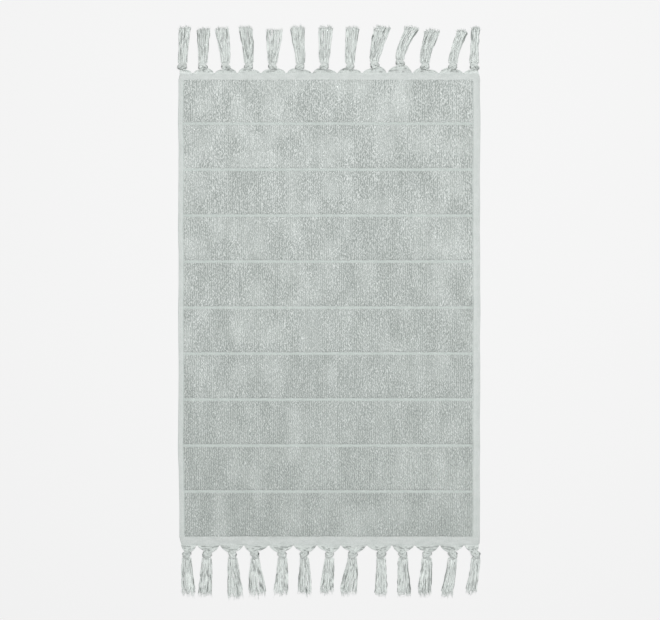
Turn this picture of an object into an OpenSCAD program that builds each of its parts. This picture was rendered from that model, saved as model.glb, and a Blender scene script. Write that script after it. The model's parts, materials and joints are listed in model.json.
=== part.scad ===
// Cotton terry bath mat with knotted tassels along both ends.
// Frame: X across the width, +Y towards the head end, +Z up, underside on Z = 0,
// origin under the centre of the whole outline with its fringes. Millimetres.

/* [Woven cloth] */
// Width over both side hems
mat_w = 500; // [450:10:650]
// Length of the woven cloth, without the fringes
mat_l = 785; // [700:5:950]
// Thickness of the flat ground weave
ground_t = 1.5; // [1:0.1:2.5]
// Height of the terry loops above the ground weave
pile_t = 5; // [3:0.5:6]
// Width of the flat-woven line between two terry bands
flat_line_w = 5.5; // [5:0.5:8]
// Length of the flat border at the head end
head_border_l = 13; // [8:1:25]
// Length of the flat border at the foot end
foot_border_l = 16; // [8:1:25]
// How much shorter the first terry band is than the others
first_band_short = 4; // [0:1:10]
// How much shorter the last terry band is than the others
last_band_short = 2; // [0:1:10]

/* [Side hems] */
// Width of the folded hem on the left side
left_hem_w = 8; // [6:0.5:15]
// Width of the folded hem on the right side
right_hem_w = 11.5; // [6:0.5:15]
// Thickness of a folded hem
hem_t = 3; // [2:0.5:3]
// Distance from a hem's outer edge to its row of stitches
stitch_inset = 3.5; // [2.5:0.5:4]
// Thickness of the sewing thread
thread_d = 0.6; // [0.3:0.1:0.8]

/* [Fringes] */
// Length of the head fringe from the border to the tassel tips
head_fringe_l = 75; // [60:1:110]
// Length of the foot fringe from the border to the tassel tips
foot_fringe_l = 81; // [60:1:110]
// Width of an overhand knot
knot_w = 17; // [14:1:20]
// Height of an overhand knot
knot_h = 12; // [10:1:14]
// Distance from the head border to its knots' centres
head_knot_reach = 10; // [8:1:16]
// Distance from the foot border to its knots' centres
foot_knot_reach = 14; // [8:1:18]
// Width of a tassel where it leaves its knot
neck_w = 15; // [12:1:16]
// Thickness of a tassel lying flat
tassel_t = 8; // [6:1:9]

/* [Hidden] */
$fn = 48;
BANDS = 10;
TASSELS = 13;

// Sideways place of each knot against an even spacing, from the left
head_shift = [-1, -8, -10, -12, -13, -8, -8, -6, -6, -4, -3, 3, -2];
foot_shift = [6, -1, 1, -2, 3, -1, 0, -2, 5, 1, 0, 3, 0];
// How much further from its border each knot is tied than the others
head_knot_out = [0, 0, 0, 0, 0, 0, 0, 0, 2, 6, 0, 0, 0];
foot_knot_out = [0, 0, 0, 0, 0, 0, 0, 0, 0, 0, 0, 0, 0];
// How far each tassel's tip lies to the right of its knot
head_lean = [4, 2, -7, -6, 3, -5, 2, 4, 14, 21, 13, 16, 3];
foot_lean = [3, -3, 5, 4, -2, 1, -5, -7, 0, 2, -4, -10, -7];
// Width of each tassel across its tip
head_tip_w = [19, 21, 22, 23, 26, 24, 24, 22, 27, 22, 24, 17, 13];
foot_tip_w = [20, 21, 24, 26, 22, 20, 20, 26, 18, 20, 20, 18, 16];
// How much shorter each tassel is than the longest one
head_short = [1, 3, 2, 0, 5, 0, 0, 1, 0, 1, 5, 7, 1];
foot_short = [6, 4, 0, 4, 6, 7, 8, 5, 4, 5, 4, 3, 8];

fold_gap = 1.6;
fold_axis_z = ground_t / 2;
pile_round = 1.8;
border_t = 2;
corner_cut = 3;
fan_gap = 3;
fan_t = 2;
knot_inset = 8;
neck_gap = 0.3;
tip_cut = 3;
mid_reach = 0.35;

overall_l = mat_l + head_fringe_l + foot_fringe_l;
head_y = overall_l / 2 - head_fringe_l;
foot_y = head_y - mat_l;
pile_l = mat_l - head_border_l - foot_border_l;
band_pitch = (pile_l + first_band_short + last_band_short) / BANDS;
knot_pitch = (mat_w - 2 * knot_inset) / (TASSELS - 1);
head_axis_reach = head_knot_reach + knot_h / 2 + tassel_t / 2 + neck_gap;
foot_axis_reach = foot_knot_reach + knot_h / 2 + tassel_t / 2 + neck_gap;

function two_digits(n) = n < 10 ? str("0", n) : str(n);
function numbered(name, count) = [for (i = [1:count]) str(name, "_", two_digits(i))];

// Middle of flat-woven line k. Line 0 is the head border's edge and line 10 the foot border's.
function line_y(k) =
    k == 0 ? head_y - head_border_l
    : k == BANDS ? foot_y + foot_border_l
    : head_y - head_border_l + first_band_short - k * band_pitch;

// Half the cleared width at line k: nothing is cleared where a band meets its border
function clear_at(k, w) = (k == 0 || k == BANDS) ? 0 : w / 2;

function knot_x(i, shift) = (i - 1 - (TASSELS - 1) / 2) * knot_pitch + shift[i - 1];

// Half of the cloth's edge that gathers into knot i, on its left (-1) or right (1) side
function fan_edge_x(i, shift, side) =
    let (j = i + side)
    (j < 1 || j > TASSELS) ? side * (mat_w / 2 - corner_cut)
    : (knot_x(i, shift) + knot_x(j, shift)) / 2 - side * fan_gap / 2;

// Cross-section of a flat strip on the X axis with its upper corners rounded
module strip_profile(w, t, r) {
    square([w, t - r]);
    translate([r, 0]) square([w - 2 * r, t]);
    translate([r, t - r]) circle(r);
    translate([w - r, t - r]) circle(r);
}

// Extrudes a cross-section drawn in XZ from y0 to y1
module along_y(y0, y1) {
    translate([0, y1, 0]) rotate([90, 0, 0]) linear_extrude(y1 - y0) children();
}

// One length of the flat ground weave with the folded hem on each side
module ground_cloth(k) {
    color([0.80, 0.82, 0.80])
    along_y(line_y(k) + clear_at(k, fold_gap), line_y(k - 1) - clear_at(k - 1, fold_gap)) {
        translate([-mat_w / 2 + hem_t / 2, 0]) square([mat_w - hem_t, ground_t]);
        translate([-mat_w / 2, 0]) strip_profile(left_hem_w, hem_t, hem_t / 2 - 0.1);
        translate([mat_w / 2 - right_hem_w, 0]) strip_profile(right_hem_w, hem_t, hem_t / 2 - 0.1);
    }
}

// One band of terry loops, standing on the ground weave between the two hems
module terry_band(k) {
    y0 = line_y(k) + clear_at(k, flat_line_w);
    y1 = line_y(k - 1) - clear_at(k - 1, flat_line_w);
    x0 = -mat_w / 2 + left_hem_w;
    color([0.74, 0.77, 0.75])
    translate([x0, y0, ground_t]) rotate([90, 0, 90])
    linear_extrude(mat_w - left_hem_w - right_hem_w) strip_profile(y1 - y0, pile_t, pile_round);
}

// The row of stitches that holds each hem down, as one raised thread a side
module hem_stitching(k) {
    y0 = line_y(k) + clear_at(k, flat_line_w);
    y1 = line_y(k - 1) - clear_at(k - 1, flat_line_w);
    color([0.86, 0.87, 0.86])
    for (side = [-1, 1])
        translate([side * (mat_w / 2 - stitch_inset) - thread_d / 2, y0, hem_t])
        cube([thread_d, y1 - y0, thread_d / 2]);
}

// The flat border at one end, its corners drawn in towards the outer tassels
module border(y_pile, y_edge) {
    w = mat_w / 2;
    y_cut = y_edge - sign(y_edge) * 2 * corner_cut;
    color([0.82, 0.84, 0.82])
    linear_extrude(border_t)
    polygon([[-w, y_pile], [-w, y_cut], [-w + corner_cut, y_edge],
        [w - corner_cut, y_edge], [w, y_cut], [w, y_pile]]);
}

// Overhand knot: a roll of knotted yarn, round at both ends and wider than it is long
module knot() {
    r = knot_h / 2;
    translate([0, 0, r])
    union() {
        rotate([0, 90, 0]) cylinder(r = r, h = knot_w - knot_h, center = true);
        translate([knot_w / 2 - r, 0, 0]) sphere(r);
        translate([r - knot_w / 2, 0, 0]) sphere(r);
    }
}

// Warp yarns gathered from the border into their knots, drawn for the head end
module knots(shift, reach, out) {
    color([0.79, 0.82, 0.80])
    for (i = [1:TASSELS]) {
        x = knot_x(i, shift);
        y = reach + out[i - 1];
        translate([x, y, 0]) knot();
        linear_extrude(fan_t)
        polygon([[fan_edge_x(i, shift, -1), 0], [fan_edge_x(i, shift, 1), 0],
            [x + neck_w / 2, y], [x - neck_w / 2, y]]);
    }
}

// Loose yarns beyond a knot, pointing along +Y from the lift axis
module tassel(reach, lean, tip_w) {
    mid_w = (neck_w + tip_w) / 2 + 1;
    y_mid = reach * mid_reach;
    x_mid = lean * mid_reach;
    color([0.79, 0.82, 0.80])
    union() {
        rotate([0, 90, 0]) cylinder(r = tassel_t / 2, h = neck_w, center = true);
        translate([0, 0, -tassel_t / 2])
        linear_extrude(tassel_t)
        polygon([[-neck_w / 2, 0], [neck_w / 2, 0], [x_mid + mid_w / 2, y_mid],
            [lean + tip_w / 2, reach - tip_cut], [lean + tip_w / 2 - tip_cut, reach],
            [lean - tip_w / 2 + tip_cut, reach], [lean - tip_w / 2, reach - tip_cut],
            [x_mid - mid_w / 2, y_mid]]);
    }
}

module head_tassel(i) {
    reach = head_axis_reach + head_knot_out[i - 1];
    translate([knot_x(i, head_shift), head_y + reach, tassel_t / 2])
    tassel(head_fringe_l - reach - head_short[i - 1], head_lean[i - 1], head_tip_w[i - 1]);
}

module foot_tassel(i) {
    reach = foot_axis_reach + foot_knot_out[i - 1];
    translate([knot_x(i, foot_shift), foot_y - reach, tassel_t / 2])
    mirror([0, 1, 0])
    tassel(foot_fringe_l - reach - foot_short[i - 1], foot_lean[i - 1], foot_tip_w[i - 1]);
}

module head_border() { border(head_y - head_border_l, head_y); }
module foot_border() { border(foot_y + foot_border_l, foot_y); }
module head_knots() { translate([0, head_y, 0]) knots(head_shift, head_knot_reach, head_knot_out); }
module foot_knots() {
    translate([0, foot_y, 0]) mirror([0, 1, 0]) knots(foot_shift, foot_knot_reach, foot_knot_out);
}

for (k = [1:BANDS]) {
    n = two_digits(k);
    ground_cloth(k);
    terry_band(k);
    hem_stitching(k);
}
head_border();
foot_border();
head_knots();
foot_knots();
for (i = [1:TASSELS]) {
    n = two_digits(i);
    head_tassel(i);
    foot_tassel(i);
}
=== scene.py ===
import json
import math

import bpy
import numpy as np
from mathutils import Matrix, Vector


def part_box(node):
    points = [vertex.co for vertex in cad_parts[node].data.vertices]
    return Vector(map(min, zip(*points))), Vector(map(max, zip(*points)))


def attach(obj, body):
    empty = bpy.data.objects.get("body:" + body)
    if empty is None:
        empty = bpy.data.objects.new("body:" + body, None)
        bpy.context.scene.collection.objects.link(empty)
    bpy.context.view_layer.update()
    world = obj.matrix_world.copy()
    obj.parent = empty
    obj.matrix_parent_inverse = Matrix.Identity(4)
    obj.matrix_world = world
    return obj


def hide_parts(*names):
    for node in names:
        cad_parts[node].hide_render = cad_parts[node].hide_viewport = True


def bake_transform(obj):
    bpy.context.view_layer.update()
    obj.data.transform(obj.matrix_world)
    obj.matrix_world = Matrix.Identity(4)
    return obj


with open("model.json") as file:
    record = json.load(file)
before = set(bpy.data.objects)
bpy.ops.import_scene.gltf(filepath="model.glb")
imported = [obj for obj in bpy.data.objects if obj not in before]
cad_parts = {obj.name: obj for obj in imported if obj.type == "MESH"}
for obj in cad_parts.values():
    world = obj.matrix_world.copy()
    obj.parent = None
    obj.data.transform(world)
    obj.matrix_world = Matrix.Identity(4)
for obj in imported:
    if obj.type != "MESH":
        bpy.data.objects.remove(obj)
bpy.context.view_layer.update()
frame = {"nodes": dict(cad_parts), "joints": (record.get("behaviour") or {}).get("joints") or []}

# A cotton terry bath mat. Everything is in metres; MM turns millimetres into metres.
# The head end is at +Y, the pile faces +Z and the underside lies on Z = 0.

MM = 0.001
BANDS = 10
SEED = 4107

# ---------------------------------------------------------------- places read from the frame


def node_points(node):
    """The CAD node's own points, as an array."""
    return np.array([v.co for v in frame["nodes"][node].data.vertices])


def joint_place(name):
    return np.array(next(j for j in frame["joints"] if j["name"] == name)["pos_m"])


def numbered(stem, i):
    return f"{stem}_{i:02d}"


GROUND_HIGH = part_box("ground_cloth_05")[1]
HALF_W = GROUND_HIGH.x
HEM_TOP = GROUND_HIGH.z
PILE_LOW, PILE_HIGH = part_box("terry_band_05")
GROUND_TOP, PILE_TOP = PILE_LOW.z, PILE_HIGH.z
PILE_LEFT, PILE_RIGHT = PILE_LOW.x, PILE_HIGH.x
HEAD_BORDER_LOW, HEAD_BORDER_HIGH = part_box("head_border")
FOOT_BORDER_LOW, FOOT_BORDER_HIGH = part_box("foot_border")
HEAD_PILE_EDGE, HEAD_EDGE = HEAD_BORDER_LOW.y, HEAD_BORDER_HIGH.y
FOOT_EDGE, FOOT_PILE_EDGE = FOOT_BORDER_LOW.y, FOOT_BORDER_HIGH.y
BORDER_TOP = HEAD_BORDER_HIGH.z
OUT = {"head": 1, "foot": -1}
EDGE = {"head": HEAD_EDGE, "foot": FOOT_EDGE}
PILE_EDGE = {"head": HEAD_PILE_EDGE, "foot": FOOT_PILE_EDGE}
END_BAND = {"head": "band_01", "foot": "band_10"}
FOLD_Y = [joint_place(f"fold_line_{k}")[1] for k in range(1, BANDS)]
LINES = [HEAD_PILE_EDGE, *FOLD_Y, FOOT_PILE_EDGE]


NEAR = 0.1 * MM


def fan_edges(end):
    """(left, right) of the cloth's edge that gathers into each knot, from left to right."""
    points = node_points(f"{end}_knots")
    at_edge = points[(np.abs(points[:, 1] - EDGE[end]) < NEAR) & (points[:, 2] < NEAR)]
    xs = sorted(set(np.round(at_edge[:, 0], 5)))
    return list(zip(xs[0::2], xs[1::2]))


# The CAD tassels' corners are cut by this much at their tips.
CORNER_CUT = 3 * MM


def tassel_plan(end, i):
    """Where a tassel leaves its knot, and the middle and width of its tip, from its CAD solid."""
    joint = joint_place(numbered(f"{end}_tassel", i) + "_lift")
    points = node_points(numbered(f"{end}_tassel", i))
    out = OUT[end]
    far = (points[:, 1] * out).max()
    tip = points[points[:, 1] * out > far - NEAR][:, 0]
    return {
        "joint": joint,
        "length": far - joint[1] * out,
        "lean": (tip.min() + tip.max()) / 2 - joint[0],
        "tip_w": tip.max() - tip.min() + 2 * CORNER_CUT,
    }


# ---------------------------------------------------------------- smooth random wandering


def ease(t):
    return t * t * (3 - 2 * t)


WANDER_CELLS = 256


def wander(t, step, rng):
    """Smooth random values from -1 to 1 along t, changing over a distance of about step."""
    t = np.asarray(t, float) / step
    values = rng.uniform(-1, 1, WANDER_CELLS)
    cell = np.floor(t).astype(int)
    f = ease(t - cell)
    return values[cell % WANDER_CELLS] * (1 - f) + values[(cell + 1) % WANDER_CELLS] * f


def wander_2d(x, y, step_x, step_y, rng):
    """Smooth random values from -1 to 1 over a plane."""
    x, y = np.asarray(x, float) / step_x, np.asarray(y, float) / step_y
    values = rng.uniform(-1, 1, (WANDER_CELLS, WANDER_CELLS))
    i, j = np.floor(x).astype(int), np.floor(y).astype(int)
    fx, fy = ease(x - i), ease(y - j)
    i0, i1 = i % WANDER_CELLS, (i + 1) % WANDER_CELLS
    j0, j1 = j % WANDER_CELLS, (j + 1) % WANDER_CELLS
    near = values[i0, j0] * (1 - fx) + values[i1, j0] * fx
    far = values[i0, j1] * (1 - fx) + values[i1, j1] * fx
    return near * (1 - fy) + far * fy


SWAY = 0.7 * MM
SWAY_STEP = 45 * MM
FOOT_LEFT_IN = 2 * MM
FOOT_LEFT_FROM, FOOT_LEFT_OVER = 140 * MM, 120 * MM


def side_sway(y):
    """How far the long sides stray from straight, the same for every piece at that y. The left
    side is also drawn in near the foot."""
    left = wander(y, SWAY_STEP, np.random.default_rng(SEED + 1)) * SWAY
    left = left + FOOT_LEFT_IN * ease(np.clip((FOOT_EDGE + FOOT_LEFT_FROM - y) / FOOT_LEFT_OVER, 0, 1))
    right = wander(y, SWAY_STEP, np.random.default_rng(SEED + 2)) * SWAY
    return left, right


def follow_sides(x, y, share):
    """x moved with the sides' sway, where share runs from 0 at the left side to 1 at the right."""
    left, right = side_sway(y.ravel())
    return x + left.reshape(y.shape) * (1 - share) ** 6 + right.reshape(y.shape) * share ** 6


# ---------------------------------------------------------------- mesh making

# The mesh attribute of each point's painted light, from 0 in full painted shade to 1.
PAINTED_LIGHT = "stands_out"


def make_mesh(name, points, quads, caps=(), smooth=True, light=None):
    """A mesh object from an array of points, an array of four-sided faces and lists for other faces.
    light says, from 0 to 1, how far each point stands out of the hollows: it is painted light, and
    a material with a hollow paints shade where it is low. Without it, such a material takes every
    point as lying in a hollow, fully shaded."""
    corners = np.concatenate([np.asarray(quads).ravel(), *[np.asarray(c) for c in caps]])
    sizes = np.array([4] * len(quads) + [len(c) for c in caps])
    starts = np.concatenate([[0], np.cumsum(sizes)[:-1]])
    mesh = bpy.data.meshes.new(name)
    mesh.vertices.add(len(points))
    mesh.vertices.foreach_set("co", np.asarray(points, np.float32).ravel())
    mesh.loops.add(len(corners))
    mesh.loops.foreach_set("vertex_index", corners.astype(np.int32))
    mesh.polygons.add(len(sizes))
    mesh.polygons.foreach_set("loop_start", starts.astype(np.int32))
    mesh.update(calc_edges=True)
    mesh.validate()
    mesh.polygons.foreach_set("use_smooth", (np.arange(len(mesh.polygons)) < len(quads)) & smooth)
    if light is not None:
        stand = mesh.attributes.new(PAINTED_LIGHT, "FLOAT", "POINT")
        stand.data.foreach_set("value", np.clip(light, 0, 1).astype(np.float32).ravel())
    piece = bpy.data.objects.new(name, mesh)
    bpy.context.scene.collection.objects.link(piece)
    return piece


def grid_faces(index):
    """The four-sided faces of a grid of point numbers, and the numbers along its rim."""
    quads = np.stack([index[:-1, :-1], index[1:, :-1], index[1:, 1:], index[:-1, 1:]], axis=-1)
    rim = np.concatenate([index[:, 0], index[-1, 1:], index[-2::-1, -1], index[0, -2:0:-1]])
    return quads.reshape(-1, 4), rim


def finish_piece(piece, material):
    piece.data.materials.append(material)
    return piece


# How sharply the painted shade falls off from each yarn's top and underside to its flanks.
FLANK_SHADE_POWER = 1.1


class Yarns:
    """Collects closed tubes of twisted yarn and makes one mesh of them all."""

    def __init__(self):
        self.points, self.quads, self.caps, self.light, self.count = [], [], [], [], 0

    def add(self, paths, radii, sides=8, lobe=0.16, pitch=7 * MM, phase=0.0, light=1.0):
        """paths is (yarns, rings, 3) and radii (yarns, rings). A lobe above 0 shows the two plies.
        light is painted light: one value, or one for each yarn, or one for each of its rings. It is
        lowered by painted shade on the yarn's flanks and between its plies."""
        n, rings, _ = paths.shape
        along = np.gradient(paths, axis=1)
        along /= np.linalg.norm(along, axis=2, keepdims=True)
        side = np.cross(along, (0.0, 0.0, 1.0))
        side /= np.linalg.norm(side, axis=2, keepdims=True) + 1e-9
        up = np.cross(side, along)
        step = np.linalg.norm(np.diff(paths, axis=1), axis=2)
        length = np.concatenate([np.zeros((n, 1)), np.cumsum(step, axis=1)], axis=1)
        around = np.linspace(0, 2 * np.pi, sides, endpoint=False)
        phase = np.broadcast_to(phase, (n,))
        turn = around + (2 * np.pi * length / pitch + phase[:, None])[..., None]
        r = radii[..., None] * (1 + lobe * np.cos(2 * around))
        ring = np.cos(turn)[..., None] * side[:, :, None] + np.sin(turn)[..., None] * up[:, :, None]
        points = paths[:, :, None] + r[..., None] * ring
        # Painted shade: each yarn is darker on its flanks than on its top and underside, and darker
        # between its plies.
        flank_shade = ((1 + np.abs(ring[..., 2])) / 2) ** FLANK_SHADE_POWER
        ply_shade = 1 - lobe * (1 - np.cos(2 * around))
        self.light.append((flank_shade * ply_shade * np.broadcast_to(light, (n, rings))[..., None]).ravel())
        index = self.count + np.arange(n * rings * sides).reshape(n, rings, sides)
        nxt = np.roll(index, -1, axis=2)
        quads = np.stack([index[:, :-1], nxt[:, :-1], nxt[:, 1:], index[:, 1:]], axis=-1)
        self.points.append(points.reshape(-1, 3))
        self.quads.append(quads.reshape(-1, 4))
        self.caps += [list(c[::-1]) for c in index[:, 0]] + [list(c) for c in index[:, -1]]
        self.count += n * rings * sides

    def make(self, name):
        return make_mesh(name, np.concatenate(self.points), np.concatenate(self.quads), self.caps,
                         light=np.concatenate(self.light))


# ---------------------------------------------------------------- materials


# The tint of the painted shade in the hollows.
HOLLOW_SHADE_TINT = (0.985, 1.02, 1.005)


def cotton(name, dark, light, grain, bump, sheen=0.35, rough=0.92, hollow=None):
    """Cotton: two tones mixed by fine and coarse noise, a soft sheen and a fibrous bump.
    grain is (fine size, coarse size, stretch along Y) and bump (size, distance).
    hollow is the share of the colour left in the hollows between yarns, as painted shade that is
    mixed in where a mesh's painted light is low."""
    material = bpy.data.materials.new(name)
    material.use_nodes = True
    nodes, links = material.node_tree.nodes, material.node_tree.links
    shader = nodes["Principled BSDF"]
    shader.inputs["Roughness"].default_value = rough
    shader.inputs["Specular IOR Level"].default_value = 0.2
    shader.inputs["Sheen Weight"].default_value = sheen
    shader.inputs["Sheen Roughness"].default_value = 0.6
    shader.inputs["Sheen Tint"].default_value = (*light, 1)
    place = nodes.new("ShaderNodeTexCoord")
    fine_size, coarse_size, stretch = grain
    spread = nodes.new("ShaderNodeMapping")
    spread.inputs["Scale"].default_value = (1, 1 / stretch, 1)
    links.new(place.outputs["Object"], spread.inputs["Vector"])

    def noise(size, detail):
        texture = nodes.new("ShaderNodeTexNoise")
        texture.inputs["Scale"].default_value = 1 / size
        texture.inputs["Detail"].default_value = detail
        texture.inputs["Roughness"].default_value = 0.55
        links.new(spread.outputs["Vector"], texture.inputs["Vector"])
        return texture.outputs["Fac"]

    share = nodes.new("ShaderNodeMath")
    share.operation = "MULTIPLY_ADD"
    share.inputs[1].default_value = 0.35
    links.new(noise(coarse_size, 3), share.inputs[0])
    fine = nodes.new("ShaderNodeMath")
    fine.operation = "MULTIPLY"
    fine.inputs[1].default_value = 0.65
    links.new(noise(fine_size, 4), fine.inputs[0])
    links.new(fine.outputs[0], share.inputs[2])
    ramp = nodes.new("ShaderNodeValToRGB")
    ramp.color_ramp.elements[0].position = 0.36
    ramp.color_ramp.elements[0].color = (*dark, 1)
    ramp.color_ramp.elements[1].position = 0.64
    ramp.color_ramp.elements[1].color = (*light, 1)
    links.new(share.outputs[0], ramp.inputs["Fac"])
    colour = ramp.outputs["Color"]
    if hollow:
        # Painted shade: the colour is darkened to the hollow share where the mesh's painted light is
        # low.
        stand = nodes.new("ShaderNodeAttribute")
        stand.attribute_name = PAINTED_LIGHT
        shaded_colour = nodes.new("ShaderNodeVectorMath")
        shaded_colour.operation = "MULTIPLY"
        shaded_colour.inputs[1].default_value = [hollow * c for c in HOLLOW_SHADE_TINT]
        links.new(colour, shaded_colour.inputs[0])
        painted_shade_mix = nodes.new("ShaderNodeMix")
        painted_shade_mix.data_type = "VECTOR"
        links.new(stand.outputs["Fac"], painted_shade_mix.inputs["Factor"])
        # A mix node has sockets for every type: 4 and 5 are its vectors A and B, 1 their mix.
        links.new(shaded_colour.outputs[0], painted_shade_mix.inputs[4])
        links.new(colour, painted_shade_mix.inputs[5])
        colour = painted_shade_mix.outputs[1]
    links.new(colour, shader.inputs["Base Color"])
    bump_size, bump_distance = bump
    fibres = nodes.new("ShaderNodeBump")
    fibres.inputs["Strength"].default_value = 0.6
    fibres.inputs["Distance"].default_value = bump_distance
    links.new(noise(bump_size, 2), fibres.inputs["Height"])
    links.new(fibres.outputs["Normal"], shader.inputs["Normal"])
    return material


def weave_bump(material, pitch_x, pitch_y, distance):
    """Adds a plain weave, raised thread over thread, to a cotton material's bump."""
    nodes, links = material.node_tree.nodes, material.node_tree.links
    place = nodes.new("ShaderNodeTexCoord")
    split = nodes.new("ShaderNodeSeparateXYZ")
    links.new(place.outputs["Object"], split.inputs[0])

    def ridges(axis, pitch):
        turn = nodes.new("ShaderNodeMath")
        turn.operation = "MULTIPLY"
        turn.inputs[1].default_value = 2 * math.pi / pitch
        links.new(split.outputs[axis], turn.inputs[0])
        wave = nodes.new("ShaderNodeMath")
        wave.operation = "SINE"
        links.new(turn.outputs[0], wave.inputs[0])
        return wave.outputs[0]

    cross = nodes.new("ShaderNodeMath")
    cross.operation = "MULTIPLY"
    links.new(ridges("X", pitch_x), cross.inputs[0])
    links.new(ridges("Y", pitch_y), cross.inputs[1])
    weave = nodes.new("ShaderNodeBump")
    weave.inputs["Strength"].default_value = 0.8
    weave.inputs["Distance"].default_value = distance
    links.new(cross.outputs[0], weave.inputs["Height"])
    fibres = next(n for n in nodes if n.type == "BUMP" and n != weave)
    links.new(weave.outputs["Normal"], fibres.inputs["Normal"])


def tone(r, g, b):
    """A display colour from 0 to 255 as the linear values that a shader takes."""
    return tuple(c / 255 / 12.92 if c <= 10 else ((c / 255 + 0.055) / 1.055) ** 2.4
                 for c in (r, g, b))


TERRY = cotton("terry_loops", tone(191, 196, 193), tone(222, 226, 224),
               grain=(1.5 * MM, 22 * MM, 3.0), bump=(0.7 * MM, 0.3 * MM), hollow=0.5)
GROUND = cotton("ground_weave", tone(194, 200, 197), tone(211, 215, 213),
                grain=(1.2 * MM, 18 * MM, 1.0), bump=(0.5 * MM, 0.1 * MM), hollow=0.86)
weave_bump(GROUND, pitch_x=1.6 * MM, pitch_y=1.3 * MM, distance=0.25 * MM)
BORDER = cotton("border_weave", tone(189, 195, 192), tone(211, 215, 213),
                grain=(2.4 * MM, 14 * MM, 0.5), bump=(0.4 * MM, 0.1 * MM), hollow=0.9)
weave_bump(BORDER, pitch_x=1.2 * MM, pitch_y=1.0 * MM, distance=0.2 * MM)
YARN = cotton("tassel_yarn", tone(217, 223, 220), tone(243, 248, 245),
              grain=(1.6 * MM, 12 * MM, 2.2), bump=(0.35 * MM, 0.12 * MM), hollow=0.3)
THREAD = cotton("sewing_thread", tone(202, 207, 204), tone(220, 224, 222),
                grain=(0.6 * MM, 9 * MM, 3.0), bump=(0.2 * MM, 0.05 * MM), sheen=0.2, rough=0.7)


# ---------------------------------------------------------------- woven cloth with its hems


def hem_line(outer, inner):
    """Upper line of a folded hem, from its outer edge over its roll to the ground weave."""
    width, r = abs(inner - outer), HEM_TOP / 2
    way = 1 if inner > outer else -1
    roll = [(outer + way * r * (1 - math.cos(a)), r + r * math.sin(a))
            for a in np.linspace(-math.pi / 2, math.pi / 2, 9)]
    flat = [(outer + way * (r + (width - 1.6 * r) * t), HEM_TOP * (1 - 0.06 * math.sin(t * math.pi)))
            for t in np.linspace(0.1, 1, 7)]
    step = [(inner - way * 0.3 * r, HEM_TOP - 0.3 * MM), (inner, HEM_TOP - 0.9 * MM),
            (inner + way * 0.3 * MM, GROUND_TOP)]
    return roll + flat + step


def cloth_profile():
    """The cross-section of the cloth and its two folded hems, as (x, z) points going round it."""
    middle = [(x, GROUND_TOP) for x in np.linspace(PILE_LEFT + 4 * MM, PILE_RIGHT - 4 * MM, 230)]
    under = [(x, 0.0) for x in np.linspace(HALF_W - 3 * MM, -HALF_W + 3 * MM, 50)]
    left, right = hem_line(-HALF_W, PILE_LEFT), hem_line(HALF_W, PILE_RIGHT)
    return np.array(left + middle + right[::-1] + under)


def loft(profile, ys, shape):
    """Points and faces of a closed strip: the profile at each y, moved by shape(x, y, z)."""
    x, y = np.meshgrid(profile[:, 0], ys, indexing="xy")
    z = np.broadcast_to(profile[:, 1], x.shape)
    points = np.stack(shape(x, y, z), axis=-1).reshape(-1, 3)
    n = len(profile)
    index = np.arange(len(ys) * n).reshape(len(ys), n)
    nxt = np.roll(index, -1, axis=1)
    quads = np.stack([index[:-1], index[1:], nxt[1:], nxt[:-1]], axis=-1).reshape(-1, 4)
    caps = [list(index[0]), list(index[-1][::-1])]
    return points, quads, caps


PICK_PITCH = 1.4 * MM
RIB_HALF_W = 1.3 * MM
RIB_HEIGHT = 0.9 * MM


def weft_rib(x, y, from_line):
    """How far, from 0 to 1, the picks along a flat-woven line bunch up into an uneven rib."""
    rng = np.random.default_rng(SEED + 3)
    thick = 0.5 + 0.5 * wander_2d(x, y, 4 * MM, 60 * MM, rng)
    stray = wander_2d(x, y, 7 * MM, 60 * MM, rng) * 0.5 * MM
    picks = 0.75 + 0.25 * np.cos(2 * math.pi * (from_line + stray) / PICK_PITCH)
    return np.exp(-((from_line + stray) / RIB_HALF_W) ** 2) * thick * picks


def cloth_shape(x, y, z):
    """Lets the sides sway, and raises uneven weft ribs along the flat-woven lines."""
    nearest = np.argmin(np.abs(y[..., None] - np.array(FOLD_Y)), axis=-1)
    rib = weft_rib(x, y, y - np.array(FOLD_Y)[nearest])
    on_top = (z > GROUND_TOP - 0.2 * MM) & (z < GROUND_TOP + 0.2 * MM)
    return follow_sides(x, y, (x + HALF_W) / (2 * HALF_W)), y, z + rib * on_top * RIB_HEIGHT


# Rings of points at a fold line, as distances from it: close ones over the line, where the
# cloth bends, and two on each side of them.
FOLD_RINGS = np.concatenate([[-5.5, -4.5, 4.5, 5.5], np.linspace(-3.5, 3.5, 21)]) * MM
RING_STEP = 5 * MM


def cloth_piece(name, y_from, y_to, fine_at=None):
    """One length of the cloth, y_from down to y_to, with close rings where it folds."""
    ys = np.linspace(y_from, y_to, max(3, int(abs(y_to - y_from) / RING_STEP)))
    if fine_at is not None:
        ys = ys[np.abs(ys - fine_at) > 6 * MM]
        ys = np.concatenate([ys, fine_at + FOLD_RINGS])
    # A ring close to each end keeps the flat end faces from tilting the shading of the top.
    ys = np.sort(np.concatenate([ys, [y_from - 0.04 * MM, y_to + 0.04 * MM]]))[::-1]
    profile = cloth_profile()
    points, quads, caps = loft(profile, ys, cloth_shape)
    # Painted shade: the low ground weave is painted darker, while the hems and the ribs of the lines,
    # which stand out, keep their full colour.
    light = np.tile(np.clip((profile[:, 1] - GROUND_TOP) / (HEM_TOP - GROUND_TOP), 0, 1), len(ys))
    light = np.maximum(light, (points[:, 2] - GROUND_TOP) / (1.5 * MM))
    return finish_piece(make_mesh(name, points, quads, caps, light=light), GROUND)


def middle_of(k):
    """The middle of terry band k, where two lengths of cloth meet under the pile."""
    return (LINES[k - 1] + LINES[k]) / 2


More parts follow.
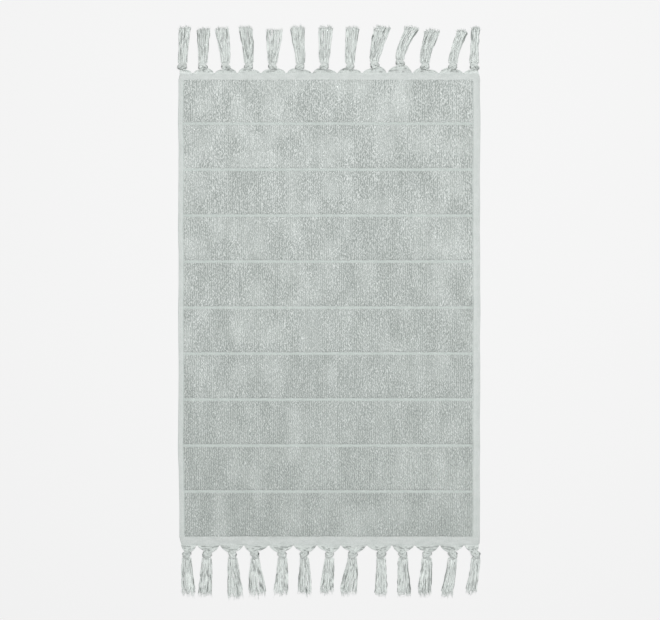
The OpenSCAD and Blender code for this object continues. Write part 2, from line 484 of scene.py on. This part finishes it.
# Where the eleven lengths of cloth, and the stitching on them, begin and end.
CLOTH_ENDS = [HEAD_PILE_EDGE, *[middle_of(k) for k in range(1, BANDS + 1)], FOOT_PILE_EDGE]
BORDER_TUCK = 1.5 * MM


def blend_at_line(piece):
    """Bakes a piece's placement into its points."""
    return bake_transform(piece)


def make_cloth():
    """The ground weave in eleven lengths, which meet under the pile."""
    pieces = []
    head = cloth_piece("cloth_head_end", HEAD_PILE_EDGE + BORDER_TUCK, middle_of(1))
    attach(head, "band_01")
    pieces.append(head)
    for k in range(1, BANDS):
        piece = cloth_piece(f"cloth_fold_{k}", middle_of(k), middle_of(k + 1), FOLD_Y[k - 1])
        blend_at_line(piece)
        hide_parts(numbered("ground_cloth", k))
        pieces.append(piece)
    foot = cloth_piece("cloth_foot_end", middle_of(BANDS), FOOT_PILE_EDGE - BORDER_TUCK)
    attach(foot, "band_10")
    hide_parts("ground_cloth_10")
    pieces.append(foot)
    return pieces


# ---------------------------------------------------------------- terry pile


GRID_X, GRID_Y = 0.56 * MM, 0.68 * MM
LOOP_PITCH_X, LOOP_PITCH_Y = 3.1 * MM, 2.9 * MM
STAMP_X, STAMP_Y = 2.2 * MM, 3.4 * MM
VALLEY = PILE_TOP - 2.7 * MM
PILE_ROOT = 1.2 * MM
# The pile leans out over the flat-woven lines by OVER_LINE, as a rim that rises to the full height
# over a distance that differs at its head side, its foot side and its two ends at the hems.
OVER_LINE = 2.5 * MM
RIM_CUT = 0.7 * MM
RIM_AT_HEAD, RIM_AT_FOOT, RIM_AT_HEM = 4.4 * MM, 6 * MM, 2.6 * MM


def stamp_loops(nx, ny, width, length, openness, rng):
    """Height of the loops' crowns over a grid: each loop is a dome, longer along the warp, and
    the highest one wins at each point. Loops stand in uneven ribs along Y. Openness, from 0 to 1,
    thins the loops, so that more of the hollows shows."""
    columns = int(width / LOOP_PITCH_X)
    rows = int(length / LOOP_PITCH_Y)
    step_x, step_y = width / (nx - 1), length / (ny - 1)
    col, row = np.meshgrid(np.arange(columns), np.arange(rows), indexing="ij")
    rib = rng.normal(0, 1, columns)[:, None]
    stagger = (col % 2) * 0.5
    cx = (col + 0.5 + rng.normal(0, 0.17, col.shape)) * width / columns
    cy = (row + 0.25 + stagger + rng.normal(0, 0.24, col.shape)) * length / rows
    high = PILE_TOP - 0.1 * MM + (0.18 * rib + rng.normal(0, 0.42, col.shape)) * MM
    lean = rng.normal(0, 0.3, col.shape)
    half_l = rng.uniform(1.2, 2.0, col.shape) * MM
    half_w = rng.uniform(0.7, 1.0, col.shape) * (0.95 - 0.4 * openness) * MM
    drop = rng.uniform(1.1, 1.7, col.shape) * MM
    field = np.full((nx, ny), VALLEY)
    reach_x, reach_y = math.ceil(STAMP_X / step_x), math.ceil(STAMP_Y / step_y)
    wx, wy = np.meshgrid(np.arange(-reach_x, reach_x + 1), np.arange(-reach_y, reach_y + 1))
    ix = np.round(cx.ravel() / step_x).astype(int)[:, None] + wx.ravel()
    iy = np.round(cy.ravel() / step_y).astype(int)[:, None] + wy.ravel()
    dx = ix * step_x - cx.ravel()[:, None]
    dy = iy * step_y - cy.ravel()[:, None]
    c, s = np.cos(lean.ravel())[:, None], np.sin(lean.ravel())[:, None]
    u = (dx * c + dy * s) / half_w.ravel()[:, None]
    v = (-dx * s + dy * c) / half_l.ravel()[:, None]
    z = high.ravel()[:, None] - drop.ravel()[:, None] * (u * u + v * v)
    inside = (ix >= 0) & (ix < nx) & (iy >= 0) & (iy < ny)
    np.maximum.at(field, (ix[inside], iy[inside]), z[inside])
    return field


def terry_piece(k):
    """The pile of one band, from a field of loops that falls to the ground weave at its rim."""
    rng = np.random.default_rng(SEED + 100 + k)
    low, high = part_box(numbered("terry_band", k))
    low.y, high.y = low.y - OVER_LINE, high.y + OVER_LINE
    width, length = high.x - low.x, high.y - low.y
    nx, ny = int(width / GRID_X) + 1, int(length / GRID_Y) + 1
    openness = (k - 1) / (BANDS - 1)
    field = stamp_loops(nx, ny, width, length, openness, rng)
    x = np.linspace(low.x, high.x, nx)[:, None] + np.zeros((1, ny))
    y = np.linspace(low.y, high.y, ny)[None, :] + np.zeros((nx, 1))
    field += wander_2d(x, y, 30 * MM, 34 * MM, rng) * 0.2 * MM
    from_lines = np.minimum((y - low.y + RIM_CUT) / RIM_AT_FOOT, (high.y - y + RIM_CUT) / RIM_AT_HEAD)
    edge = np.minimum(from_lines, np.minimum(x - low.x, high.x - x) / RIM_AT_HEM)
    rise = 1 - (1 - np.clip(edge, 0, 1)) ** 1.7
    z = np.maximum(field - (1 - rise) * (PILE_TOP - PILE_ROOT), PILE_ROOT)
    z[0], z[-1], z[:, 0], z[:, -1] = PILE_ROOT, PILE_ROOT, PILE_ROOT, PILE_ROOT
    # Painted shade in the hollows between the loops, deeper towards the foot and weaker on the rim.
    light = np.clip((field - VALLEY) / (PILE_TOP - 0.4 * MM - VALLEY), 0, 1)
    light = 1 - (1 - light ** (0.45 + 0.25 * openness)) * (0.35 + 0.65 * rise)
    # The loops at the rim stop unevenly short of the line, and follow the sides' sway.
    bulge = (wander_2d(x, y, 2.6 * MM, 9 * MM, rng) - 1) * 0.7 * MM
    from_middle = (y - (low.y + high.y) / 2) / (length / 2)
    y = y + bulge * np.sign(from_middle) * np.clip(np.abs(from_middle) * 6 - 5, 0, 1)
    x = follow_sides(x, y, (x - low.x) / width)
    points = np.stack([x, y, z], axis=-1).reshape(-1, 3)
    quads, rim = grid_faces(np.arange(nx * ny).reshape(nx, ny))
    piece = make_mesh(numbered("terry_pile", k), points, quads, [list(rim[::-1])], light=light)
    finish_piece(piece, TERRY)
    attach(piece, numbered("band", k))
    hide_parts(numbered("terry_band", k))
    return piece


# ---------------------------------------------------------------- hem stitching


STITCH = 3.8 * MM
STITCH_SHARE = 0.84
THREAD_R = 0.3 * MM


def stitch_row(yarns, side, y_from, y_to):
    """Lockstitches down one hem: each is a short thread that dips into the cloth at both ends."""
    low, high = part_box("hem_stitching_05")
    x = high.x - THREAD_R if side > 0 else low.x + THREAD_R
    count = int(round((y_from - y_to) / STITCH))
    t = np.linspace(0, 1, 7)
    stitch = (y_from - y_to) / count
    starts = y_from - (np.arange(count) + (1 - STITCH_SHARE) / 2) * stitch
    y = starts[:, None] - t * stitch * STITCH_SHARE
    left, right = side_sway(y.ravel())
    sway = (right if side > 0 else left).reshape(y.shape)
    dip = 0.25 * MM * (np.abs(t - 0.5) > 0.45)
    z = HEM_TOP - 0.05 * MM + THREAD_R * np.sin(t * math.pi) ** 0.5 - dip
    paths = np.stack([x + sway, y, np.broadcast_to(z, y.shape)], axis=-1)
    yarns.add(paths, np.full(y.shape, THREAD_R), sides=6, lobe=0.08, pitch=4 * MM)


def make_stitching():
    """Both hems' stitches, in the same lengths as the cloth."""
    pieces = []
    for k in range(BANDS + 1):
        yarns = Yarns()
        for side in (-1, 1):
            stitch_row(yarns, side, CLOTH_ENDS[k], CLOTH_ENDS[k + 1])
        piece = finish_piece(yarns.make(numbered("stitching", k)), THREAD)
        if k == 0:
            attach(piece, "band_01")
        elif k == BANDS:
            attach(piece, "band_10")
        else:
            blend_at_line(piece)
        if k > 0:
            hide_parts(numbered("hem_stitching", k))
        pieces.append(piece)
    return pieces


# ---------------------------------------------------------------- flat borders


# How far the left and the right corner of each border are drawn in, and over what width.
CORNER_IN = {"head": (2 * MM, 1.5 * MM), "foot": (3 * MM, 1 * MM)}
CORNER_REACH = 16 * MM
UNDER_CLOTH = 2 * MM
BORDER_ROWS = 15


def border_piece(end):
    """The flat border at one end. Its outer edge swells a little towards each knot."""
    out = OUT[end]
    rng = np.random.default_rng(SEED + 20 + out)
    xs = np.linspace(-HALF_W, HALF_W, 401)
    swell = np.zeros(len(xs))
    for left, right in fan_edges(end):
        t = (xs - left) / (right - left)
        inside = (t > 0) & (t < 1)
        swell[inside] = np.sin(np.pi * t[inside]) ** 0.7
    corner = np.clip((HALF_W - np.abs(xs)) / (6 * MM), 0, 1)
    reach = (EDGE[end] - PILE_EDGE[end]) * out + (swell * 1.2 - 0.8) * MM - (1 - corner) ** 2 * 3 * MM
    t = np.linspace(0, 1, BORDER_ROWS)
    x = xs[:, None] + np.zeros((1, BORDER_ROWS))
    y = PILE_EDGE[end] + out * (-UNDER_CLOTH + (reach[:, None] + UNDER_CLOTH) * t)
    corner_in = np.where(x < 0, -CORNER_IN[end][0], CORNER_IN[end][1])
    in_corner = np.clip((np.abs(x) - HALF_W + CORNER_REACH) / CORNER_REACH, 0, 1)
    x = follow_sides(x - in_corner ** 2 * corner_in * t ** 1.6, y, (x + HALF_W) / (2 * HALF_W))
    # It is as thick as the hems where it meets them.
    left_rise = np.clip((PILE_LEFT + 2 * MM - xs) / (3 * MM), 0, 1)
    right_rise = np.clip((xs - PILE_RIGHT + 2 * MM) / (3 * MM), 0, 1)
    hem_rise = left_rise + right_rise
    top = BORDER_TOP + hem_rise[:, None] * (HEM_TOP - BORDER_TOP) * (1 - t) ** 0.7
    top = top + wander_2d(x, y, 16 * MM, 5 * MM, rng) * 0.3 * MM
    roll = np.sqrt(1 - (1 - np.clip((1 - t) * (BORDER_ROWS - 1) / 2, 0, 1)) ** 2)
    side_roll = np.sqrt(1 - (1 - np.clip((HALF_W - np.abs(xs)) / (1.6 * MM), 0, 1)) ** 2)[:, None]
    thick = top * (0.25 + 0.75 * roll) * (0.3 + 0.7 * side_roll)
    upper = np.stack([x, y, thick], axis=-1)
    lower = np.stack([x, y, np.zeros_like(x)], axis=-1)
    n = x.size
    quads, rim = grid_faces(np.arange(n).reshape(x.shape))
    after = np.roll(rim, -1)
    sides = np.stack([rim, rim + n, after + n, after], axis=-1)
    faces = np.concatenate([quads, quads[:, ::-1] + n, sides])
    if out < 0:
        faces = faces[:, ::-1]
    points = np.concatenate([upper.reshape(-1, 3), lower.reshape(-1, 3)])
    # Painted shade along both of its edges.
    light = np.broadcast_to(1 - 0.6 * np.abs(2 * t - 0.9) ** 3, x.shape).ravel()
    mesh = make_mesh(f"{end}_border_weave", points, faces, light=np.concatenate([light, light]))
    piece = finish_piece(mesh, BORDER)
    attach(piece, END_BAND[end])
    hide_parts(f"{end}_border")
    return piece


# ---------------------------------------------------------------- fringes


# From a knot's centre to its tassel's hinge.
HINGE_REACH = 10.3 * MM
FAN_YARNS = 20
FAN_RINGS = 18
KNOT_RINGS = 46
RING_PITCH = 0.88 * MM
SKIRT_YARNS = 32
SKIRT_RINGS = 80
CLUMPS = 6
YARN_R = 0.88 * MM
KNOTTED_R = 0.78 * MM
ROPE_R = 3.1 * MM
NECK_HALF_W = 7.5 * MM
KNOT_Z = 5.6 * MM
FILAMENTS = 6

# How the two ends differ: the head's fans bulge at their shoulders, while the foot's are drawn
# tighter, with arched gaps between them, and its tassels are wider and more frayed.
FAN_BULGE = {"head": 0.32, "foot": 0.3}
FAN_SHOULDER = {"head": 0.62, "foot": 0.5}
FAN_GATHERED = {"head": 0.05, "foot": 0.12}
FAN_SHADE = {"head": -0.45, "foot": 0.2}
TIP_SHARE = {"head": 0.97, "foot": 1.04}
TIP_UNEVEN = {"head": 0.03, "foot": 0.05}
# How far each end lifts the painted shade on its tassels' yarns.
SKIRT_SHADE_LIFT = {"head": 1.3, "foot": 1.5}
LONGEST_FRAY = {"head": 8.5 * MM, "foot": 12 * MM}

# The middle of the bundle through an overhand knot, in millimetres from the knot's centre on the
# floor: up one side, over the front from that shoulder down to the other side, round the back,
# and out through its own loop.
KNOT_PATH = [(0.5, -4.4, 4.6), (-1.8, -2.2, 4.4), (-3.6, 0.2, 5.0), (-4.0, 2.2, 6.6), (-1.6, 2.5, 8.4),
             (1.4, 0.9, 9.2), (4.3, -0.9, 8.0), (5.2, -2.6, 5.6), (1.8, -3.3, 3.8), (-2.4, -3.2, 4.6),
             (-4.6, -1.9, 7.0), (-2.4, -0.6, 7.2), (0.6, 1.4, 6.4), (1.6, 3.6, 6.4), (0.8, 6.4, 5.0)]


def dashes(d, n, length, rng):
    """Painted light along n yarns, mostly 1, with dashes of painted shade of about the given length.
    """
    turns = np.stack([wander(d + rng.uniform(0, 1), length, rng) for _ in range(n)])
    return 1 - 0.7 * np.clip(turns * 2 - 0.9, 0, 1)


GOLDEN_ANGLE = 2.399963


def disc_places(n, rng, jitter=0.06):
    """n evenly spread places in a unit disc, sorted from left to right."""
    i = np.arange(n) + 0.5
    r, a = np.sqrt(i / n), i * GOLDEN_ANGLE
    places = np.stack([r * np.cos(a), r * np.sin(a)], axis=-1) + rng.normal(0, jitter, (n, 2))
    return places[np.argsort(places[:, 0])]


def curve_through(points, count):
    """A smooth curve through all the points."""
    p = np.vstack([2 * points[0] - points[1], points, 2 * points[-1] - points[-2]])
    t = np.linspace(0, len(points) - 1, count)
    k = np.minimum(t.astype(int), len(points) - 2)
    f = (t - k)[:, None]
    a, b, c, d = p[k], p[k + 1], p[k + 2], p[k + 3]
    square, cube = 2 * a - 5 * b + 4 * c - d, 3 * b - a - 3 * c + d
    return 0.5 * (2 * b + (c - a) * f + square * f ** 2 + cube * f ** 3)


def bundle_along(path, places, spin):
    """Yarns that keep their places in a bundle along a path, turning by spin from end to end."""
    along = np.gradient(path, axis=0)
    along /= np.linalg.norm(along, axis=1, keepdims=True)
    side = np.empty_like(path)
    carried = np.array([1.0, 0.0, 0.0])
    for k, a in enumerate(along):
        carried = carried - a * (carried @ a)
        carried /= np.linalg.norm(carried)
        side[k] = carried
    up = np.cross(side, along)
    turn = spin * np.linspace(0, 1, len(path))
    c, s = np.cos(turn), np.sin(turn)
    across = places[:, :1] * c - places[:, 1:] * s
    over = places[:, :1] * s + places[:, 1:] * c
    return path + across[..., None] * side + over[..., None] * up


def bezier(p0, p1, p2, p3, t):
    """Cubic curves through arrays of points, one curve a row."""
    t = t[None, :, None]
    p0, p1, p2, p3 = [p[:, None] for p in (p0, p1, p2, p3)]
    return (1 - t) ** 3 * p0 + 3 * (1 - t) ** 2 * t * p1 + 3 * (1 - t) * t * t * p2 + t ** 3 * p3


def knotted_fan(yarns, end, left, right, knot, rng):
    """Warp yarns that leave the border side by side, gather, and go through an overhand knot."""
    out, edge, n = OUT[end], EDGE[end], FAN_YARNS
    places = disc_places(n, rng) * (ROPE_R - KNOTTED_R)
    flip = rng.choice([-1, 1])
    size = rng.uniform(1.02, 1.14)
    tilt = rng.normal(0, 0.16)
    local = np.array(KNOT_PATH) * (flip * size, size, 1)
    cos, sin = math.cos(tilt), math.sin(tilt)
    turned = np.stack([local[:, 0] * cos - local[:, 1] * sin,
                       (local[:, 0] * sin + local[:, 1] * cos) * out, local[:, 2]], axis=-1)
    centre = curve_through(np.array([knot[0], knot[1], 0]) + turned * MM, KNOT_RINGS)
    knotted = bundle_along(centre, places, rng.uniform(-1.2, 1.2))
    gather = knotted[:, 0]
    left_sway, right_sway = side_sway(np.array([edge]))
    left = max(left, -HALF_W + left_sway[0] + CORNER_IN[end][0] + YARN_R)
    right = min(right, HALF_W + right_sway[0] - CORNER_IN[end][1] - YARN_R)
    # The yarns keep their order from left to right, so that they don't cross in the fan.
    u = np.linspace(-1, 1, n)[np.argsort(np.argsort(gather[:, 0]))]
    x0 = (left + right) / 2 + u * (right - left) / 2 * 1.01
    reach = (gather[:, 1] - edge) * out
    start = np.stack([x0, np.full(n, edge - out * 3.4 * MM), np.full(n, 1.05 * MM)], axis=-1)
    rise = 3.4 * MM + reach * FAN_BULGE[end]
    p1 = start + np.stack([0.03 * (knot[0] - x0), out * rise,
                           0.2 * MM + 0.6 * MM * rng.random(n)], axis=-1)
    p2 = gather - np.stack([(gather[:, 0] - x0) * FAN_SHOULDER[end],
                            out * reach * FAN_GATHERED[end], np.full(n, 0.6 * MM)], axis=-1)
    fan = bezier(start, p1, p2, gather, np.linspace(0, 1, FAN_RINGS))
    paths = np.concatenate([fan[:, :-1], knotted], axis=1)
    ring = np.arange(paths.shape[1])
    draw = np.clip(ring / (FAN_RINGS - 1), 0, 1) ** 2
    radii = (YARN_R + (KNOTTED_R - YARN_R) * draw) * np.ones((n, 1))
    past_edge = (paths[:, :, 1] - edge) * out / MM
    # Broken arcs of painted shadow across the fan, where its yarns dip. Distances here are in
    # millimetres.
    in_shade = np.zeros(past_edge.shape)
    for nearest in (0.4, 2.6, 5):
        arc = nearest + 1.2 * wander(u * 10 * MM, 4 * MM, rng)[:, None] + 1.4 * (1 - u[:, None] ** 2)
        dark = np.clip(wander(u * 10 * MM, 3 * MM, rng)[:, None] * 1.8 + FAN_SHADE[end], 0, 1)
        in_shade = np.maximum(in_shade, np.exp(-((past_edge - arc) / 0.8) ** 2) * dark)
    # Painted shade on the knot's lower wraps, and dashes of painted shade along its yarns.
    under = np.clip((paths[:, :, 2] - 3 * MM) / (3.5 * MM), 0, 1)
    in_knot = ring >= FAN_RINGS - 1
    tones = np.where(in_knot, (0.5 + 0.5 * under) * dashes(ring * RING_PITCH, n, 5 * MM, rng), 1)
    yarns.add(paths, radii, sides=6, phase=rng.uniform(0, 6, n), pitch=5 * MM,
              light=tones * (1 - in_shade) * rng.uniform(0.85, 1, (n, 1)))


def skirt_yarns(yarns, end, plan, knot, rng):
    """The loose yarns beyond a knot: a tight neck, a flattened skirt on the floor, frayed tips."""
    n, out, joint = SKIRT_YARNS, OUT[end], plan["joint"]
    neck = disc_places(n, rng)
    across = np.linspace(-1, 1, n)
    tip = np.stack([across + rng.normal(0, 0.04, n), rng.uniform(-1, 1, n)], axis=-1)
    tip = tip[np.argsort(np.argsort(across + rng.normal(0, 0.22, n)))]
    # Neighbouring yarns cling together in clumps, with painted shade in the gaps between the clumps.
    clumps = (np.arange(CLUMPS) + 0.5 + rng.uniform(-0.3, 0.3, CLUMPS)) * 2 / CLUMPS - 1
    nearest = clumps[np.argmin(np.abs(tip[:, :1] - clumps), axis=1)][:, None]
    apart = (tip[:, :1] - nearest) * CLUMPS
    back = (joint[1] - knot[1]) * out - 2 * MM
    f = np.linspace(-back / plan["length"], 1, SKIRT_RINGS)
    d = f * plan["length"]
    uneven = rng.normal(0, TIP_UNEVEN[end], n)
    reach = plan["length"] * (0.98 + uneven - 0.02 * tip[:, 0] ** 2)
    fp = np.clip(f, 0, 1)
    open_up = ease(np.clip((d + back) / (back + 8 * MM), 0, 1))
    tip_half_w = plan["tip_w"] / 2 * TIP_SHARE[end]
    half_w = NECK_HALF_W + (tip_half_w - NECK_HALF_W) * (1 - (1 - fp) ** 2.2)
    leave = ease(np.clip((d + back) / (0.55 * back), 0, 1))
    half_w = ROPE_R + (half_w - ROPE_R) * leave
    spread = 0.5 * ease(np.clip(fp / 0.6, 0, 1)) + 0.5 * fp
    cling = 0.45 * np.sin(np.pi * fp ** 0.8)
    u = neck[:, :1] * (1 - spread) + tip[:, :1] * spread - apart / CLUMPS * cling
    v = neck[:, 1:] * (1 - spread) + tip[:, 1:] * spread
    bend = plan["lean"] * (0.55 * fp + 0.45 * fp ** 2)
    along = joint[1] * out + f * reach[:, None]
    wave = np.stack([wander(d + rng.uniform(0, 1), 8 * MM, rng) for _ in range(n)]) * 0.8 * MM
    lift = np.stack([wander(d + rng.uniform(0, 1), 11 * MM, rng) for _ in range(n)]) * 0.6 * MM
    x = joint[0] + bend + u * half_w + wave * open_up
    flat = ease(np.clip(fp / 0.5, 0, 1))
    height = (7.4 * (1 - flat) + 3.8 * flat) * MM
    lowest = 1.2 * YARN_R
    floor = lowest + (KNOT_Z - 3.4 * MM - lowest) * (1 - leave)
    z = np.maximum(floor + (v + 1) / 2 * (height - 2 * YARN_R * 0.9) + lift * open_up, lowest)
    paths = np.stack([x, along * out, z], axis=-1)
    taper = (0.7 + 0.3 * leave) * (1 - 0.35 * ease(np.clip((f - 0.86) / 0.14, 0, 1)))
    # Painted shade: the yarns inside the bundle are darker than those on the outside, each end lifting
    # it by its own share, and the gaps between clumps and dashes along each yarn are painted darker
    # too.
    bundle_shade = (0.7 + 0.3 * np.abs(v)) * SKIRT_SHADE_LIFT[end]
    ragged = np.clip(0.7 + wander(d + nearest, 9 * MM, rng), 0, 1)
    gap_shade = np.clip(np.abs(apart) * 2 - 1, 0, 1) * ragged * ease(fp ** 0.3)
    yarns.add(paths, YARN_R * taper * np.ones((n, 1)), lobe=0.2, pitch=6 * MM,
              phase=rng.uniform(0, 6, n),
              light=bundle_shade * (1 - gap_shade) * dashes(d, n, 7 * MM, rng))
    fray(yarns, end, paths, rng)


def fray(yarns, end, paths, rng):
    """The cut end of each yarn opens into fine filaments."""
    n = len(paths)
    base = paths[:, -7]
    t = np.linspace(0, 1, 6)
    for _ in range(FILAMENTS):
        length = rng.uniform(3.5 * MM, LONGEST_FRAY[end], n)
        aside = rng.normal(0, 1.3, n) * MM
        up = rng.normal(0, 0.7, n) * MM
        curl = rng.normal(0, 0.4, n) * MM
        x = base[:, :1] + aside[:, None] * t ** 1.4 + curl[:, None] * np.sin(t * 5)
        y = base[:, 1:2] + OUT[end] * length[:, None] * t
        z = np.maximum(base[:, 2:] + up[:, None] * t, 0.3 * MM)
        radii = 0.22 * MM * (1 - 0.6 * t) * np.ones((n, 1))
        yarns.add(np.stack([x, y, z], axis=-1), radii, sides=4, lobe=0.0)


def make_fringe(end):
    """The knots of one end, as one piece, and its tassels, one piece each."""
    out = OUT[end]
    knots, tassels = Yarns(), []
    for i, (left, right) in enumerate(fan_edges(end), start=1):
        rng = np.random.default_rng(SEED + 1000 * (2 + out) + i)
        plan = tassel_plan(end, i)
        knot = plan["joint"] - np.array([0, out * HINGE_REACH, 0])
        knotted_fan(knots, end, left, right, knot, rng)
        skirt = Yarns()
        skirt_yarns(skirt, end, plan, knot, rng)
        tassel = finish_piece(skirt.make(numbered(f"{end}_tassel_yarns", i)), YARN)
        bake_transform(tassel)
        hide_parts(numbered(f"{end}_tassel", i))
        tassels.append(tassel)
    knotted = finish_piece(knots.make(f"{end}_overhand_knots"), YARN)
    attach(knotted, END_BAND[end])
    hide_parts(f"{end}_knots")
    return [knotted, *tassels]


# ---------------------------------------------------------------- the mat


cloth = make_cloth()
stitching = make_stitching()
terry = [terry_piece(k) for k in range(1, BANDS + 1)]
borders = {end: border_piece(end) for end in ("head", "foot")}
fringes = {end: make_fringe(end) for end in ("head", "foot")}

# ---------------------------------------------------------------- floor, light and camera


FLOOR_GAP = 0.3 * MM
CAMERA_HEIGHT = 2.6
PHOTO_WIDTH = 660
PICTURE_ELEMENT = 1.658 * MM


def make_floor():
    """A pale floor just under the mat, lit from within too, as in a picture on a white ground."""
    half = 6.0
    points = [(-half, -half, 0), (half, -half, 0), (half, half, 0), (-half, half, 0)]
    floor = make_mesh("floor", points, np.array([[0, 1, 2, 3]]), smooth=False)
    material = bpy.data.materials.new("pale_floor")
    material.use_nodes = True
    shader = material.node_tree.nodes["Principled BSDF"]
    shader.inputs["Base Color"].default_value = (0.22, 0.22, 0.22, 1)
    shader.inputs["Roughness"].default_value = 0.9
    shader.inputs["Specular IOR Level"].default_value = 0.1
    shader.inputs["Emission Color"].default_value = (1, 1, 1, 1)
    shader.inputs["Emission Strength"].default_value = 0.64
    floor.data.materials.append(material)
    floor.location.z = -FLOOR_GAP
    return floor


def area_light(name, place, target, size, power):
    data = bpy.data.lights.new(name, "AREA")
    data.shape = "DISK"
    data.size = size
    data.energy = power
    light = bpy.data.objects.new(name, data)
    light.location = place
    light.rotation_mode = "QUATERNION"
    light.rotation_quaternion = (Vector(target) - Vector(place)).to_track_quat("-Z", "Y")
    light.visible_camera = False
    bpy.context.scene.collection.objects.link(light)
    return light


def make_light():
    world = bpy.data.worlds.new("studio")
    world.use_nodes = True
    world.node_tree.nodes["Background"].inputs["Color"].default_value = (1, 1, 1, 1)
    world.node_tree.nodes["Background"].inputs["Strength"].default_value = 0.33
    bpy.context.scene.world = world
    area_light("key", place=(0.15, 0.45, 3.0), target=(0, 0, 0), size=1.3, power=87)


def make_camera():
    data = bpy.data.cameras.new("camera")
    camera = bpy.data.objects.new("camera", data)
    bpy.context.scene.collection.objects.link(camera)
    data.sensor_width = 36
    data.lens = data.sensor_width * CAMERA_HEIGHT / (PHOTO_WIDTH * PICTURE_ELEMENT)
    camera.location = (1.2 * MM, 1.7 * MM, CAMERA_HEIGHT)
    data.clip_start, data.clip_end = 0.05, 20
    bpy.context.scene.camera = camera


make_floor()
make_light()
make_camera()
bpy.context.scene.view_settings.view_transform = "Standard"

# ---------------------------------------------------------------- what is sewn, woven or knotted to the cloth


def declare_sheets():
    """Gathers, for each length of cloth, what is sewn, woven or knotted to it, and does nothing more
    with it.
    """
    for k, piece in enumerate(cloth):
        on_it = [stitching[k]]
        if k < BANDS:
            on_it.append(terry[k])
        if k == 0:
            on_it += fringes["head"]
        if k == BANDS:
            on_it += fringes["foot"]


declare_sheets()
